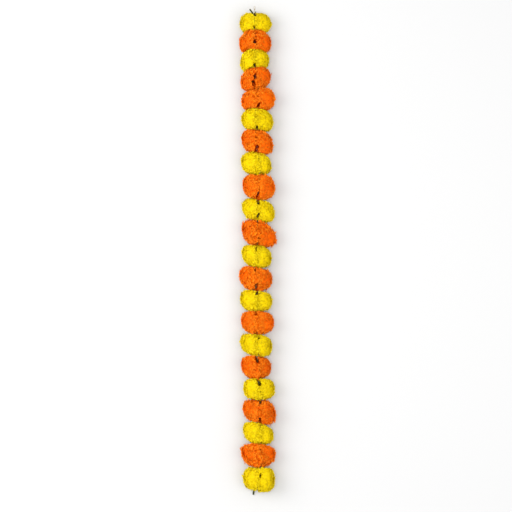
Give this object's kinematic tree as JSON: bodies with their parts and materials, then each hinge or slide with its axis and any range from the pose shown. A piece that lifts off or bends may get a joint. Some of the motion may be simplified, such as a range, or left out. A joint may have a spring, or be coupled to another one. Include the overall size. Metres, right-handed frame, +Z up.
{
  "type": "marigold garland",
  "caption": "Straight garland of yellow and orange marigold heads tied back to back in pairs along one thread, lying flat, with a small tied loop at one end.",
  "frame": {"origin": "middle of the garland's footprint, on the flat surface that it lies on", "axes": "+Y along the garland towards the end with the tied loop, +Z up from the surface, +X to the right when seen from above with the loop at the top"},
  "size_m": [0.117, 1.528, 0.0815],
  "materials": {
    "yellow_petals": "matte",
    "orange_petals": "matte",
    "green_stem": "satin",
    "cotton_thread": "matte"
  },
  "bodies": {
    "root": {"marigold_01_left_yellow": "yellow_petals", "marigold_01_right_yellow": "yellow_petals", "marigold_02_left_orange": "orange_petals", "marigold_02_right_orange": "orange_petals", "marigold_03_left_yellow": "yellow_petals", "marigold_03_right_yellow": "yellow_petals", "marigold_04_left_orange": "orange_petals", "marigold_04_right_orange": "orange_petals", "marigold_05_left_orange": "orange_petals", "marigold_05_right_orange": "orange_petals", "marigold_06_left_yellow": "yellow_petals", "marigold_06_right_yellow": "yellow_petals", "marigold_07_left_orange": "orange_petals", "marigold_07_right_orange": "orange_petals", "marigold_08_left_yellow": "yellow_petals", "marigold_08_right_yellow": "yellow_petals", "marigold_09_left_orange": "orange_petals", "marigold_09_right_orange": "orange_petals", "marigold_10_left_yellow": "yellow_petals", "marigold_10_right_yellow": "yellow_petals", "marigold_11_left_orange": "orange_petals", "marigold_11_right_orange": "orange_petals", "marigold_12_left_yellow": "yellow_petals", "marigold_12_right_yellow": "yellow_petals", "marigold_13_left_orange": "orange_petals", "marigold_13_right_orange": "orange_petals", "marigold_14_left_yellow": "yellow_petals", "marigold_14_right_yellow": "yellow_petals", "marigold_15_left_orange": "orange_petals", "marigold_15_right_orange": "orange_petals", "marigold_16_left_yellow": "yellow_petals", "marigold_16_right_yellow": "yellow_petals", "marigold_17_left_orange": "orange_petals", "marigold_17_right_orange": "orange_petals", "marigold_18_left_yellow": "yellow_petals", "marigold_18_right_yellow": "yellow_petals", "marigold_19_left_orange": "orange_petals", "marigold_19_right_orange": "orange_petals", "marigold_20_left_yellow": "yellow_petals", "marigold_20_right_yellow": "yellow_petals", "marigold_21_left_orange": "orange_petals", "marigold_21_right_orange": "orange_petals", "marigold_22_left_yellow": "yellow_petals", "marigold_22_right_yellow": "yellow_petals", "thread": "cotton_thread", "thread_loop": "cotton_thread", "upper_knot": "cotton_thread", "lower_knot": "cotton_thread", "long_top_stem": "green_stem", "short_top_stem": "green_stem", "bottom_stem": "green_stem"}
  },
  "joints": []
}
